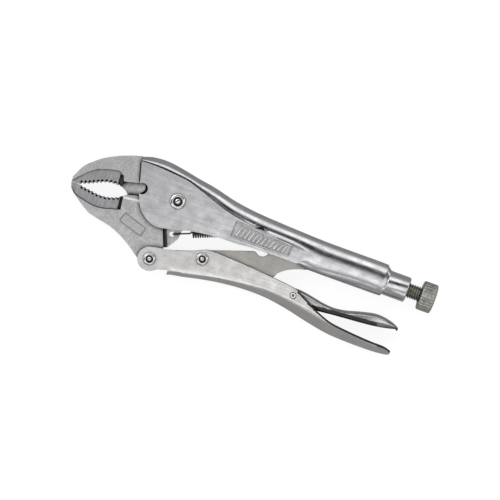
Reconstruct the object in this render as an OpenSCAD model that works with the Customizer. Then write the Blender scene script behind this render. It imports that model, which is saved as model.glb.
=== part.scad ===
// Locking pliers with curved jaws and a wire cutter, closed, lying on their side.
// X runs along the adjusting screw from the jaws to the knob, Y from the lower handle
// to the upper one, Z along the rivets. Z = 0 is the surface that the knob's rim rests on.

/* [Jaws] */
// Distance from the jaw rivet to the nose, along X
jaw_reach = 69.5; // [60:0.5:84]
// Thickness of the movable jaw
jaw_t = 10; // [8.3:0.1:12]
// Depth of the sunk tooth zone on each side of a jaw
zone_step = 0.8; // [0.4:0.1:1.2]
// Distance from one tooth to the next
tooth_pitch = 2.7; // [2.2:0.1:3.3]
// Height of a tooth
tooth_h = 0.9; // [0.5:0.1:1.1]
// Radius of the movable jaw's hub around the jaw rivet
hub_r = 12; // [10:0.1:13]
// Radius of the movable jaw's ear around the handle rivet
ear_r = 7.5; // [6:0.1:9]
// Thickness of the spring tab
tab_t = 3; // [2:0.1:4]

/* [Frame and handles] */
// Distance from the jaw rivet to the end of the frame's tube, along X
frame_reach = 160; // [134:1:192]
// Thickness of the folded sheet
sheet = 2.3; // [1.9:0.1:2.8]
// Thickness of the release lever's sheet
lever_sheet = 1.8; // [1.4:0.1:2.2]
// Radius of the lower handle's ear around the handle rivet
handle_ear_r = 8; // [6.7:0.1:9.6]
// Outer radius of the round threaded end of the frame
collar_r = 8.35; // [7:0.05:10]

/* [Toggle link] */
// Thickness of the link
link_t = 6; // [5:0.1:7.2]
// Radius of the link's eye around the link rivet
link_eye_r = 6; // [5:0.1:7.2]
// Radius of the link's nose, which bears towards the end of the screw
nose_r = 3; // [2.5:0.1:3.6]
// Free travel of the nose before it meets the screw
nose_gap = 5.2; // [5:0.1:6.2]

/* [Rivets and pins] */
// Radius of the jaw rivet's shank
jaw_rivet_r = 3.4; // [2.8:0.1:4.1]
// Radius of the jaw rivet's head
jaw_head_r = 5; // [4.3:0.1:6]
// Radius of the handle and link rivets' shanks
link_rivet_r = 2.6; // [2.1:0.1:3.1]
// Radius of the handle and link rivets' heads
link_head_r = 4; // [3.4:0.1:4.8]
// Radius of the release lever's pin
lever_pin_r = 1.9; // [1.5:0.1:2.3]
// Height of a rivet head
head_h = 1.2; // [0.8:0.1:1.5]

/* [Adjusting screw] */
// Outer radius of the thread
screw_r = 4.95; // [4.2:0.05:5.9]
// Distance from one thread to the next
thread_pitch = 1.6; // [1.2:0.1:1.9]
// Length of bare screw between the frame and the knob
screw_bare = 8.5; // [7:0.5:12]
// Radius of the knob
knob_r = 9.75; // [9.3:0.05:11.7]
// Length of the knob
knob_len = 10; // [8:0.5:12]
// Number of grooves around the knob
knob_grooves = 26; // [16:1:30]

/* [Return spring] */
// Outer radius of the coil
coil_r = 3.2; // [2.7:0.1:3.8]
// Diameter of the wire
wire_d = 1; // [0.8:0.1:1.1]
// Distance from one turn to the next
coil_pitch = 1.5; // [1.3:0.1:1.8]

/* [Fits] */
// Radial running clearance of a pin in a moving part
running = 0.05; // [0.02:0.01:0.08]
// Gap between a moving part and the sheet beside it
side_gap = 0.2; // [0.15:0.05:0.4]
// Gap between edges of different parts that face each other
edge_gap = 0.4; // [0.3:0.05:0.6]
// Gap between the two halves of the wire cutter
shear_gap = 0.15; // [0.1:0.05:0.2]

/* [Hidden] */

FINE = 64;
FAR = 200;
// The fold's inner radius, the collar's length, how far the tube's end is sunk in the collar
// and the depth and length of the chamfer on the knob's rims
FOLD_IN = 0.3;
COLLAR_LEN = 15;
COLLAR_SINK = 0.7;
KNOB_CHAMFER = [1.8, 1.2];
// How much of the shaft's radius the knob grips, and how far the shaft stops short of its face
SHAFT_STEP = 1;
SHAFT_SHORT = 2;

// The jaws stretch ahead of the frame's front edge, the handles stretch behind the link's eye.
JAW_FROM = -31;
JAW_REACH_0 = 69.5;
HANDLE_FROM = 34;
FRAME_REACH_0 = 160;
function jx(x) = x > JAW_FROM ? x
    : JAW_FROM + (x - JAW_FROM) * (jaw_reach + JAW_FROM) / (JAW_REACH_0 + JAW_FROM);
function hx(x) = x < HANDLE_FROM ? x
    : HANDLE_FROM + (x - HANDLE_FROM) * (frame_reach - HANDLE_FROM) / (FRAME_REACH_0 - HANDLE_FROM);
function jaw_pts(p) = [for (q = p) [jx(q.x), q.y]];
function handle_pts(p) = [for (q = p) [hx(q.x), q.y]];

// Pivots: jaw rivet, handle rivet, link rivet, lever pin, and the nose's seat on the screw axis
A = [0, 3];
B = [-4.6, -38.2];
C = [27.6, -26.6];
E = [hx(91), -28.7];
D = [hx(108), 0];

// Extra room beside the lever, and on each side of the link between the tube's lips
LEVER_PLAY = 0.1;
LINK_PLAY = 0.5;
half_in = jaw_t / 2 + side_gap;
half_out = half_in + sheet;
lever_half = half_in - side_gap - LEVER_PLAY;
link_slot = link_t / 2 + LINK_PLAY;
bore_r = screw_r + running;
collar_from = frame_reach - COLLAR_LEN;
screw_tip = D.x + nose_r + nose_gap;
knob_from = frame_reach + screw_bare;
shaft_end = knob_from + knob_len - SHAFT_SHORT;

// The whole object's box, which sets the origin
TOP_Y = 25.5;
centre_x = (knob_from + knob_len - jaw_reach) / 2;
centre_y = (TOP_Y + B.y - handle_ear_r) / 2;
module placed() {
    translate([-centre_x, -centre_y, knob_r]) children();
}

// A smooth curve through points of any size (Catmull-Rom), n steps to a span
function at(p, i) = p[max(0, min(len(p) - 1, i))];
function curve_at(p, i, t) = 0.5 * (2 * at(p, i)
    + t * (at(p, i + 1) - at(p, i - 1))
    + t * t * (2 * at(p, i - 1) - 5 * at(p, i) + 4 * at(p, i + 1) - at(p, i + 2))
    + t * t * t * (3 * at(p, i) - at(p, i - 1) - 3 * at(p, i + 1) + at(p, i + 2)));
function curve(p, n) = concat(
    [for (i = [0:len(p) - 2], k = [0:n - 1]) curve_at(p, i, k / n)], [p[len(p) - 1]]);
function arc(c, rx, ry, from, to, n) = [for (i = [0:n])
    let (a = from + (to - from) * i / n) [c.x + rx * cos(a), c.y + ry * sin(a)]];
function reversed(p) = [for (i = [len(p) - 1:-1:0]) p[i]];
function mirrored(p) = [for (q = p) [-q.x, q.y]];

// A folded sheet: rows of [x, web, lip, half width, crown height, curl, half gap].
// web is the outside of the fold and lip the free edges. curl rounds the lips inwards,
// and half gap is where they end. up = 1 has the fold on top, up = -1 underneath.
CROWN_STEPS = 6;
CURL_STEPS = 3;
function half_section(row, inset) = let (
        w = row[3] - inset,
        crown = max(0.4, row[4] - inset),
        across = max(0.4, row[3] - 0.8 - inset),
        curl_out = min(row[5], row[3] - row[6] - 0.02),
        curl_in = max(0.3, curl_out - inset),
        curl = max(0.3, row[5] - inset),
        web = row[1] - inset,
        lip = row[2] + inset)
    concat([[row[6], lip]],
        arc([w - curl_in, lip + curl], curl_in, curl, -90, 0, CURL_STEPS),
        arc([w - across, web - crown], across, crown, 0, 90, CROWN_STEPS));
function section(row, t) = let (
        out = half_section(row, 0),
        in = half_section(row, t))
    concat(out, mirrored(reversed(out)), mirrored(in), reversed(in));

module folded(rows, t, up, n) {
    stations = curve(rows, n);
    rings = [for (s = stations)
        [for (q = section([s[0], up * s[1], up * s[2], s[3], s[4], s[5], s[6]], t))
            [s[0], up * q.y, up * q.x]]];
    m = len(rings[0]);
    k = len(rings);
    half = m / 2;
    function id(i, j) = i * m + j % m;
    sides = [for (i = [0:k - 2], j = [0:m - 1])
        each [[id(i, j), id(i, j + 1), id(i + 1, j)],
            [id(i, j + 1), id(i + 1, j + 1), id(i + 1, j)]]];
    front = [for (j = [0:half - 2])
        each [[id(0, j), id(0, m - 1 - j), id(0, j + 1)],
            [id(0, j + 1), id(0, m - 1 - j), id(0, m - 2 - j)]]];
    back = [for (j = [0:half - 2])
        each [[id(k - 1, j + 1), id(k - 1, m - 1 - j), id(k - 1, j)],
            [id(k - 1, m - 2 - j), id(k - 1, m - 1 - j), id(k - 1, j + 1)]]];
    polyhedron(points = [for (r = rings) each r], faces = concat(sides, front, back));
}

module slab(outline, from, to) {
    translate([0, 0, from]) linear_extrude(to - from) polygon(outline);
}
module post(c, r, from, to) {
    translate([c.x, c.y, from]) cylinder(r = r, h = to - from, $fn = FINE);
}
module bore(c, r) {
    post(c, r, -FAR / 2, FAR / 2);
}

// Frame

// [x, top, height of the rounded ridge, lips before they are trimmed]
RIDGE = [[-34, 21.4, 2.4, -24], [-30, 23.2, 2.8, -24], [-24, 24.9, 4.1, -24],
    [-15, 25.5, 5.2, -24], [-5, 24.2, 4.5, -24], [8, 21.7, 4.8, -24], [20, 19.7, 6.4, -24],
    [35, 16.1, 8, -20], [50, 14, 8.2, -15], [66, 12.9, 7.8, -12.5], [85, 12, 8.6, -12]];
frame_plain = [for (r = RIDGE) [hx(r[0]), r[1], r[3], half_out, r[2], sheet + FOLD_IN, half_in]];
tube_end_r = collar_r - COLLAR_SINK;
// The tube also has room for the screw.
tube_half = max(half_out, bore_r + side_gap + sheet);
NECK_LEN = 8;
frame_tube = [
    [hx(95), 11.6, -9.9, half_out, 10.2, 8.2, link_slot],
    [hx(108), 11.4, -9.8, tube_half, 10.4, 8.4, link_slot],
    [hx(114), 11.4, -9.8, tube_half, 10.4, 8.4, 1],
    [hx(138), 11.4, -9.8, tube_half, 10.4, 8.4, 1],
    [collar_from - 2, 10.6, -9.2, tube_half + 0.4, 9.6, 8, 1],
    [collar_from + 2, tube_end_r, -tube_end_r, tube_end_r, tube_end_r - 0.5, tube_end_r - 0.5, 1]];
FRONT_EDGE = [[-31, 20.5], [-27, 5.9]];
FRONT_LOW = [[-25.3, -1], [-21.5, -9], [-17, -13.5], [-12, -16.3], [-7, -17.2], [-3, -16.6]];
LOWER_EDGE = [[5, -14.8], [15, -12.2], [30, -10.2], [45, -9.8], [55, -8.9], [84, -8.8],
    [92, -9.4], [98, -10.5]];
NOTCH = [-24.5, 3];
NOTCH_R = 3.7;
// The movable jaw's edge shows this far inside the notch
NOTCH_REVEAL = 0.6;
SPRING_SLOT = [hx(57), 5.6];
SPRING_SLOT_L = 9;
SPRING_SLOT_H = 3.2;
ANCHOR_W = 2;
ANCHOR_T = 1.2;
spring_anchor = [SPRING_SLOT.x, SPRING_SLOT.y - (SPRING_SLOT_H + ANCHOR_T) / 2];

function frame_outline() = concat([[-30.2, 30]], FRONT_EDGE,
    arc(NOTCH, NOTCH_R, NOTCH_R, 130, -100, 10),
    curve(FRONT_LOW, 3), curve(handle_pts(LOWER_EDGE), 2),
    [[frame_reach, LOWER_EDGE[len(LOWER_EDGE) - 1].y], [frame_reach, 30]]);

module spring_slot() {
    hull() {
        for (s = [-1, 1])
            translate([SPRING_SLOT.x + s * (SPRING_SLOT_L - SPRING_SLOT_H) / 2, SPRING_SLOT.y, 0])
                cylinder(r = SPRING_SLOT_H / 2, h = half_out + 1, $fn = 32);
    }
}
module frame() color("silver") placed() {
    difference() {
        union() {
            intersection() {
                folded(concat(frame_plain, frame_tube), sheet, 1, 3);
                slab(frame_outline(), -FAR / 2, FAR / 2);
            }
            translate([collar_from, 0, 0]) rotate([0, 90, 0])
                cylinder(r = collar_r, h = frame_reach - collar_from, $fn = FINE);
        }
        translate([collar_from - NECK_LEN, 0, 0]) rotate([0, 90, 0])
            cylinder(r = bore_r, h = frame_reach - collar_from + NECK_LEN + 1, $fn = FINE);
        bore(A, jaw_rivet_r);
        spring_slot();
    }
    // bent tab that the spring's rear hook hangs on
    translate([spring_anchor.x, spring_anchor.y, 0]) cube([ANCHOR_W, ANCHOR_T, 2 * half_in], center = true);
}

// Jaws

// Outer profiles from the nose back
UPPER_BACK = [[-69.5, -5], [-68, -1.5], [-65, 4.2], [-60, 9], [-55, 13], [-50, 15.8],
    [-45, 18.2], [-40, 20.2], [-35, 21.9], [-31.4, 22.8]];
LOWER_BACK = [[-69.3, -9], [-67.5, -13], [-62.5, -17], [-55, -22], [-50, -24.2], [-40, -26.3],
    [-35, -27.5], [-28, -30.4], [-20, -35], [-14.6, -38.8]];
// Edges of the mouth, which the teeth are cut along
UPPER_MOUTH = [[-64, -7.9], [-58, -5.6], [-53, -3.2], [-48, -1.2], [-43, -0.4], [-38.4, -0.6]];
LOWER_MOUTH = [[-63, -8.5], [-57, -9.2], [-51.5, -10], [-46, -9.9], [-41, -8.7], [-36.6, -6.8]];
// Cutter lines: fixed jaw's near half, and the floor of the movable jaw's pocket
CUT_HIGH = [[-37.6, 3.1], [-12, 10]];
POCKET_FLOOR = [[-34.4, -5.6], [-31.6, -3.1], [-24.4, -1.3]];
TONGUE_LAP = 1.6;
// The hole in the spring tab
TAB_HOLE = [3.3, -18.3];
TAB_HOLE_R = 1.6;
ZONE_HIGH = [[-66, -4.6], [-63, -1.5], [-60, 1.5], [-55, 4.7], [-49, 6.8], [-43, 8], [-40.9, 7.6]];
ZONE_LOW = [[-66.4, -12.6], [-64, -14.8], [-58, -16.5], [-51, -17.7], [-45, -17.4], [-38, -15.5],
    [-34.6, -14.7]];
HIGH_GROOVE = [[-41, 7.6], [-38.6, 7], [-37.4, 3.2], [-38.4, -1.6], [-40, -1.6]];
LOW_GROOVE = [[-36.6, -5.6], [-35, -5.6], [-33.6, -14.6], [-35.3, -15.6]];

function along(p, d, i = 0) = i >= len(p) - 1 ? p[len(p) - 1]
    : let (s = norm(p[i + 1] - p[i])) d <= s ? p[i] + (p[i + 1] - p[i]) * d / s
    : along(p, d - s, i + 1);
function path_length(p) = [for (i = 0, s = 0; i < len(p); s = s + (i < len(p) - 1
    ? norm(p[i + 1] - p[i]) : 0), i = i + 1) s][len(p) - 1];
// A toothed edge along a smooth path: tips on the path, roots on the side given by side
function toothed(p, side) = let (
        path = curve(p, 6),
        count = floor(path_length(path) / tooth_pitch),
        step = path_length(path) / count)
    [for (i = [0:2 * count]) let (
            q = along(path, i * step / 2),
            d = along(path, i * step / 2 + 0.2) - along(path, i * step / 2 - 0.2),
            u = d / max(norm(d), 0.01))
        i % 2 == 0 ? q : q + tooth_h * side * [-u.y, u.x]];

function shift(p, dy) = [for (q = p) [q.x, q.y + dy]];

module both_faces(half, depth, outline) {
    slab(outline, half - depth, FAR / 2);
    slab(outline, -FAR / 2, depth - half);
}

shank_arc = hub_r + edge_gap;
// Where an arc of radius r about the jaw rivet meets the cutter's upper line, moved by dy
cut_slope = atan2(CUT_HIGH[1].y - CUT_HIGH[0].y, CUT_HIGH[1].x - jx(CUT_HIGH[0].x));
function hub_from(r, dy) = let (p = CUT_HIGH[1] + [0, dy] - A)
    90 + cut_slope + acos((p.y * cos(cut_slope) - p.x * sin(cut_slope)) / r);
module fixed_jaw() color("lightgray") placed() {
    lap = TONGUE_LAP + edge_gap;
    difference() {
        slab(concat(curve(jaw_pts(UPPER_BACK), 3),
            [[JAW_FROM - 0.3, 20.4], [-20, 20.2], [-10, 19.4], [0, 18.6], [4, 17.4]],
            arc(A, shank_arc, shank_arc, 72, hub_from(shank_arc, 0), 8),
            [CUT_HIGH[1], jaw_pts(CUT_HIGH)[0]],
            reversed(toothed(jaw_pts(UPPER_MOUTH), 1)),
            jaw_pts([[-69.3, -7.9]])), -half_in, half_in);
        slab(concat(shift(jaw_pts([[-42, 0], CUT_HIGH[0]]), lap), shift([CUT_HIGH[1]], lap),
            [[-9, 9], [-12, 6]], jaw_pts([[-37, 2]])), -half_in - 1, shear_gap / 2);
        slab(jaw_pts([[-39.4, 4], [-39.4, -2], [-30, -2], [-30, 4]]), -half_in - 1, shear_gap / 2);
        both_faces(half_in, zone_step,
            concat(curve(jaw_pts(ZONE_HIGH), 3), jaw_pts([[-38.6, -1.6], [-60, -10], [-71, -9]])));
        both_faces(half_in, 2 * zone_step, jaw_pts(HIGH_GROOVE));
    }
}

module movable_jaw() color("lightgray") placed() {
    half = jaw_t / 2;
    low = edge_gap;
    notch_in_r = NOTCH_R + NOTCH_REVEAL;
    difference() {
        union() {
            slab(concat(reversed(curve(jaw_pts(LOWER_BACK), 3)),
                jaw_pts([[-69.3, -8.3]]), toothed(jaw_pts(LOWER_MOUTH), -1),
                jaw_pts([[-34.4, -5.6], [-31.6, -3.1]]), [[-24.4, -1.3]],
                arc(NOTCH, notch_in_r, notch_in_r, -80, 40, 6), [CUT_HIGH[1] - [0, low]],
                arc(A, hub_r, hub_r, hub_from(hub_r, -low), -70, 20),
                [[-3.5, -16.5], [1, -28]], arc(B, ear_r, ear_r, 30, -160, 16)), -half, half);
            slab(concat(jaw_pts([[-38.3, -0.2], [-37.8, 3.1 + TONGUE_LAP - low]]),
                [CUT_HIGH[1] + [0, TONGUE_LAP - low], [-8, 8], [-12, -6], [-24, -6]],
                jaw_pts([[-32, -4.2], [-35, -1.8]])), -half, -shear_gap / 2);
            slab([[-8, -12], [8.9, -12], [8.7, -15.5], [8.2, -20], [3.4, -27.5], [-4, -30]],
                -tab_t / 2, tab_t / 2);
        }
        bore(A, jaw_rivet_r + running);
        bore(B, link_rivet_r + running);
        bore(TAB_HOLE, TAB_HOLE_R);
        both_faces(half, zone_step,
            concat(curve(jaw_pts(ZONE_LOW), 3), jaw_pts([[-35.4, -5], [-60, -7], [-71, -8]])));
        both_faces(half, 2 * zone_step, jaw_pts(LOW_GROOVE));
    }
}

// Lower handle

// [x, underside, height of the rounded edge, half width beyond the inner gap]
HANDLE_WEB = [[-16, -56, 3, 0], [2, -52, 3, 0], [8.5, -44.6, 2.6, 0], [20, -41.9, 2.5, 0],
    [32, -39.3, 2.5, 0], [45, -37.2, 2.8, 0], [60, -36, 3.4, 0], [75, -36.3, 4.5, 0],
    [90, -38.6, 5.5, 0], [105, -41.9, 6, 0.3], [120, -44.6, 5.5, 0.8], [135, -45.4, 4.5, 1.2],
    [150, -45.2, 4, 1], [159, -44.4, 3.4, -0.8], [163, -43.9, 3, -4]];
HANDLE_TOP = [[-5, -30], [3, -28.7], [10, -26.9], [20, -23.6], [27, -20.4], [31, -19.5],
    [45, -19.9], [60, -20.9], [80, -22.6], [91, -24], [96, -26.2], [101, -29], [110, -33.2],
    [120, -36.8], [140, -39.6], [158, -41.1]];

handle_rows = [for (r = HANDLE_WEB) [hx(r[0]), r[1], -8, half_out + r[3], r[2],
    sheet + FOLD_IN, half_in + r[3]]];
function handle_outline() = concat(reversed(curve(handle_pts(HANDLE_TOP), 2)),
    arc(B, handle_ear_r, handle_ear_r, 92, 318, 16),
    [[6.2, -41.9], [9, -44.4], [9, -60], [hx(163) - 1, -60]],
    arc([hx(161), -42.8], 2, 1.6, -60, 60, 4));

module lower_handle() color("silver") placed() {
    difference() {
        intersection() {
            folded(handle_rows, sheet, -1, 2);
            slab(handle_outline(), -FAR / 2, FAR / 2);
        }
        bore(B, link_rivet_r);
        bore(C, link_rivet_r);
        bore(E, lever_pin_r);
    }
}

// Toggle link

NOTCH_TOP = [hx(62.3), -7.5];
NOTCH_TOP_R = 4.5;
LINK_LOW = [[93, -10.4], [88, -11.7], [82, -14.4], [76.9, -18.4], [75.4, -21.4], [73, -23.2]];
module toggle_link() color("gray") placed() {
    difference() {
        slab(concat(arc(C, link_eye_r, link_eye_r, 100, 280, 14),
            reversed(handle_pts(LINK_LOW)),
            arc(D, nose_r, nose_r, -70, 75, 10),
            [[hx(68), -4]], arc(NOTCH_TOP, NOTCH_TOP_R, NOTCH_TOP_R, 40, -140, 10),
            [[hx(57), -10.4]]), -link_t / 2, link_t / 2);
        bore(C, link_rivet_r + running);
    }
}

// Release lever

// [x, top, extra half width]
LEVER_WEB = [[71, -26.6, -0.6], [80, -25.8, 0], [87, -24.6, 0], [93, -23.7, 0], [101, -24.7, 0],
    [111, -26.6, 0], [119, -27.2, 0], [127, -26.1, 0.5], [136, -23.6, 1.6], [145, -21.6, 2.4],
    [152, -21.7, 2.2], [159, -23.4, 0.6], [163, -25.6, -2.2]];
LEVER_LOW = [[73, -30], [84, -33.2], [96, -33.6], [110, -32.8], [120, -31.8], [140, -30.2],
    [150, -29], [158, -27.4], [163.2, -26]];
LEVER_CROWN = 2.6;
lever_rows = [for (r = LEVER_WEB) [hx(r[0]), r[1], -40, lever_half + r[2], LEVER_CROWN,
    lever_sheet + FOLD_IN, lever_half + r[2] - lever_sheet]];
function lever_outline() = concat([[hx(70), -10], [hx(70), -29]],
    curve(handle_pts(LEVER_LOW), 2), [[hx(164), -10]]);
module release_lever() color("silver") placed() {
    difference() {
        intersection() {
            folded(lever_rows, lever_sheet, 1, 2);
            slab(lever_outline(), -FAR / 2, FAR / 2);
        }
        bore(E, lever_pin_r + running);
    }
}

// Adjusting screw and knob

THREAD_DEPTH = 0.8;
THREAD_RUNOUT = 0.8;
TIP_CHAMFER = 1.2;
// Crest from, crest to, root from and root to, as shares of a turn
THREAD_SHAPE = [0.12, 0.32, 0.62, 0.8];
GROOVE_WIDTH = 0.55;
GROOVE_OUT = 0.45;
module adjusting_screw() color("darkgray") placed() {
    threaded = knob_from - screw_tip - THREAD_RUNOUT - TIP_CHAMFER;
    turns = floor(threaded / thread_pitch);
    step = threaded / turns;
    translate([screw_tip, 0, 0]) rotate([0, 90, 0]) rotate_extrude($fn = FINE)
        polygon(concat([[0, 0], [screw_r - TIP_CHAMFER, 0], [screw_r, TIP_CHAMFER]],
            [for (i = [0:turns - 1], k = [0:3]) [k < 2 ? screw_r : screw_r - THREAD_DEPTH,
                TIP_CHAMFER + step * (i + THREAD_SHAPE[k])]],
            [[screw_r, TIP_CHAMFER + step * turns], [screw_r, knob_from - screw_tip],
                [screw_r - SHAFT_STEP, knob_from - screw_tip],
                [screw_r - SHAFT_STEP, shaft_end - screw_tip], [0, shaft_end - screw_tip]]));
}
module screw_knob() color("darkgray") placed() {
    groove_r = PI * knob_r / knob_grooves * GROOVE_WIDTH;
    rim_r = knob_r - KNOB_CHAMFER.x;
    translate([knob_from, 0, 0]) rotate([0, 90, 0]) difference() {
        rotate_extrude($fn = FINE)
            polygon([[0, 0], [rim_r, 0], [knob_r, KNOB_CHAMFER.y], [knob_r, knob_len - KNOB_CHAMFER.y],
                [rim_r, knob_len], [0, knob_len]]);
        translate([0, 0, -1])
            cylinder(r = screw_r - SHAFT_STEP, h = knob_len - SHAFT_SHORT + 1, $fn = FINE);
        for (i = [0:knob_grooves - 1])
            rotate((i + 0.5) * 360 / knob_grooves)
                translate([knob_r + groove_r * GROOVE_OUT, 0, -1])
                    cylinder(r = groove_r, h = knob_len + 2, $fn = 16);
    }
}

// Return spring: a coil between two straight hooks

HOOK_LEN = 13;
WIRE_SIDES = 6;
TURN_STEPS = 10;
module wire(path) {
    n = len(path);
    rings = [for (i = [0:n - 1]) let (
            d = path[min(n - 1, i + 1)] - path[max(0, i - 1)],
            u = d / norm(d),
            a = cross(u, [0.12, 0.1, 1]),
            s = a / norm(a),
            v = cross(u, s))
        [for (k = [0:WIRE_SIDES - 1]) let (t = 360 * k / WIRE_SIDES)
            path[i] + wire_d / 2 * (cos(t) * s + sin(t) * v)]];
    m = WIRE_SIDES;
    last = (n - 1) * m;
    polyhedron(points = [for (r = rings) each r], faces = concat(
        [for (i = [0:n - 2], k = [0:m - 1]) let (
                a = i * m + k,
                b = i * m + (k + 1) % m)
            each [[a, a + m, b + m], [a, b + m, b]]],
        [for (k = [1:m - 2]) each [[0, k, k + 1], [last, last + k + 1, last + k]]]));
}
module return_spring() color("dimgray") placed() {
    span = spring_anchor - TAB_HOLE;
    length = norm(span);
    mean_r = coil_r - wire_d / 2;
    coil_len = length - 2 * HOOK_LEN;
    turns = floor(coil_len / coil_pitch);
    hook_x = TAB_HOLE_R - wire_d / 2 - 0.2;
    tab_z = max(tab_t / 2 + wire_d / 2 + 0.3, mean_r);
    round_tab = wire_d / 2 + ANCHOR_W / 2 + 0.4;
    translate([TAB_HOLE.x, TAB_HOLE.y, 0]) rotate(atan2(span.y, span.x))
        wire(concat(
            [[hook_x + 1.6, 0, -tab_z - 0.4], [hook_x + 0.4, 0, -tab_z - 0.1], [hook_x, 0, -tab_t / 2],
                [hook_x, 0, tab_t / 2], [hook_x + 0.5, 0, tab_z - 0.2], [hook_x + 1.4, 0, tab_z]],
            [[HOOK_LEN - 2, 0, mean_r]],
            [for (i = [0:turns * TURN_STEPS]) let (a = 360 * i / TURN_STEPS)
                [HOOK_LEN + coil_len * i / (turns * TURN_STEPS), mean_r * sin(a), mean_r * cos(a)]],
            [[length - HOOK_LEN + 2, 0.6, mean_r * 0.6], [length - HOOK_LEN + 5, round_tab, 0]],
            [for (a = [90:-30:-120]) [length + round_tab * cos(a), round_tab * sin(a), 0]]));
}

// Rivets

module rivet(c, r, head_r, dimple) {
    // shares of the head's radius and height where its dome bends
    rim = [0.88, 0.6];
    flat = 0.55;
    top = half_out + head_h;
    profile = [[0, -top], [head_r * flat, -top], [head_r * rim.x, -half_out - head_h * rim.y],
        [head_r, -half_out], [r, -half_out], [r, half_out], [head_r, half_out],
        [head_r * rim.x, half_out + head_h * rim.y], [head_r * flat, top],
        [dimple, top], [dimple * 0.4, top - head_h / 2], [0, top - head_h / 2]];
    translate([c.x, c.y, 0]) rotate_extrude($fn = FINE) polygon(profile);
}
module jaw_rivet() color("gainsboro") placed() rivet(A, jaw_rivet_r, jaw_head_r, 1.4);
module handle_rivet() color("gainsboro") placed() rivet(B, link_rivet_r, link_head_r, 1.1);
module link_rivet() color("gainsboro") placed() rivet(C, link_rivet_r, link_head_r, 1.1);
module lever_pin() color("gainsboro") placed() post(E, lever_pin_r, -half_out, half_out);

frame();
fixed_jaw();
movable_jaw();
lower_handle();
toggle_link();
release_lever();
adjusting_screw();
screw_knob();
return_spring();
jaw_rivet();
handle_rivet();
link_rivet();
lever_pin();
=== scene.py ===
import math

import bmesh
import bpy
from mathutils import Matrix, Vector

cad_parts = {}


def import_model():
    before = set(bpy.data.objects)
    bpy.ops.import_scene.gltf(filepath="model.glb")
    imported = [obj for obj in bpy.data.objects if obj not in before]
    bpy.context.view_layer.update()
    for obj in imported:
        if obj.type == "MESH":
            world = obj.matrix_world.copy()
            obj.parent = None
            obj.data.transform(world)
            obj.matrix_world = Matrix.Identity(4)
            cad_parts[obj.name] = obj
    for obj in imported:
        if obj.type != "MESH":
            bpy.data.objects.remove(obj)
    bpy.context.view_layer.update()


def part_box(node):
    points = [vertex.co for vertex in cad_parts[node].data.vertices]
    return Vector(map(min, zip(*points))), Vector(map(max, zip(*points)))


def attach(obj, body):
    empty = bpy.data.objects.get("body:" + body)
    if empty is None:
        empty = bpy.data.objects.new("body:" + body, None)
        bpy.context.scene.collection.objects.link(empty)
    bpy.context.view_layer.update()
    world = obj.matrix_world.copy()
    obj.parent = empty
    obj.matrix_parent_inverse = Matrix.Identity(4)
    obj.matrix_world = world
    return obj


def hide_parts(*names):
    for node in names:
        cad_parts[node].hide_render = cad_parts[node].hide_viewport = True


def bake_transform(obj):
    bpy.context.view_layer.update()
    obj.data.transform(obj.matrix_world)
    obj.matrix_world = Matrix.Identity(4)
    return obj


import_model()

# Working coordinates in mm: X from the jaw rivet, Y and Z from the screw's axis.
MM = 0.001
AXIS_LO, AXIS_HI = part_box("adjusting_screw")
RIVET_LO, RIVET_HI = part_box("jaw_rivet")
ORIGIN = Vector(((RIVET_LO.x + RIVET_HI.x) / 2, (AXIS_LO.y + AXIS_HI.y) / 2, (AXIS_LO.z + AXIS_HI.z) / 2))


def centre(node):
    lo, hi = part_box(node)
    return ((lo + hi) / 2 - ORIGIN) / MM


def low(node):
    return (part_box(node)[0] - ORIGIN) / MM


def high(node):
    return (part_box(node)[1] - ORIGIN) / MM


def world(p):
    return ORIGIN + Vector(p) * MM


A = centre("jaw_rivet")
B = centre("handle_rivet")
C = centre("link_rivet")
E = centre("lever_pin")

SHEET = 2.3
HALF_IN = high("fixed_jaw").z
HALF_OUT = HALF_IN + SHEET
JAW_HALF = high("movable_jaw").z
LINK_HALF = high("toggle_link").z
SCREW_R = high("adjusting_screw").y
SCREW_TIP = low("adjusting_screw").x
KNOB_FROM, KNOB_TO = low("screw_knob").x, high("screw_knob").x
KNOB_R = high("screw_knob").y
FRAME_END = high("frame").x
COLLAR_R = 8.35
COLLAR_FROM = FRAME_END - 15
# The frame's tube narrows to NECK_R as it runs into the collar.
NECK_FROM, NECK_TO, SHELL_END = COLLAR_FROM - 2, COLLAR_FROM + 2, COLLAR_FROM + 3
NECK_R = 7.65


# ---------------------------------------------------------------- curves

def curve(p, n):
    """A smooth curve through points of any size, n steps to a span."""
    out = []
    last = len(p) - 1
    for i in range(last):
        four = [p[max(0, min(last, i + k))] for k in (-1, 0, 1, 2)]
        for k in range(n):
            t = k / n
            out.append(tuple(0.5 * (2 * b + t * (c - a) + t * t * (2 * a - 5 * b + 4 * c - d)
                                    + t ** 3 * (3 * b - a - 3 * c + d)) for a, b, c, d in zip(*four)))
    out.append(tuple(p[-1]))
    return out


def arc(c, rx, ry, start, end, n):
    return [(c[0] + rx * math.cos(math.radians(start + (end - start) * i / n)),
             c[1] + ry * math.sin(math.radians(start + (end - start) * i / n))) for i in range(n + 1)]


class Rail:
    """Values that change smoothly along X: rows of (x, value, ...)."""

    def __init__(self, *rows):
        self.rows = curve(rows, 10)

    def at(self, x):
        rows = self.rows
        if x <= rows[0][0]:
            return rows[0][1:]
        for a, b in zip(rows, rows[1:]):
            if x <= b[0]:
                t = (x - a[0]) / max(1e-9, b[0] - a[0])
                return tuple(p + (q - p) * t for p, q in zip(a[1:], b[1:]))
        return rows[-1][1:]


def spaced(start, end, step):
    n = max(1, round((end - start) / step))
    return [start + (end - start) * i / n for i in range(n + 1)]


def length(p):
    return sum(math.dist(a, b) for a, b in zip(p, p[1:]))


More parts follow.
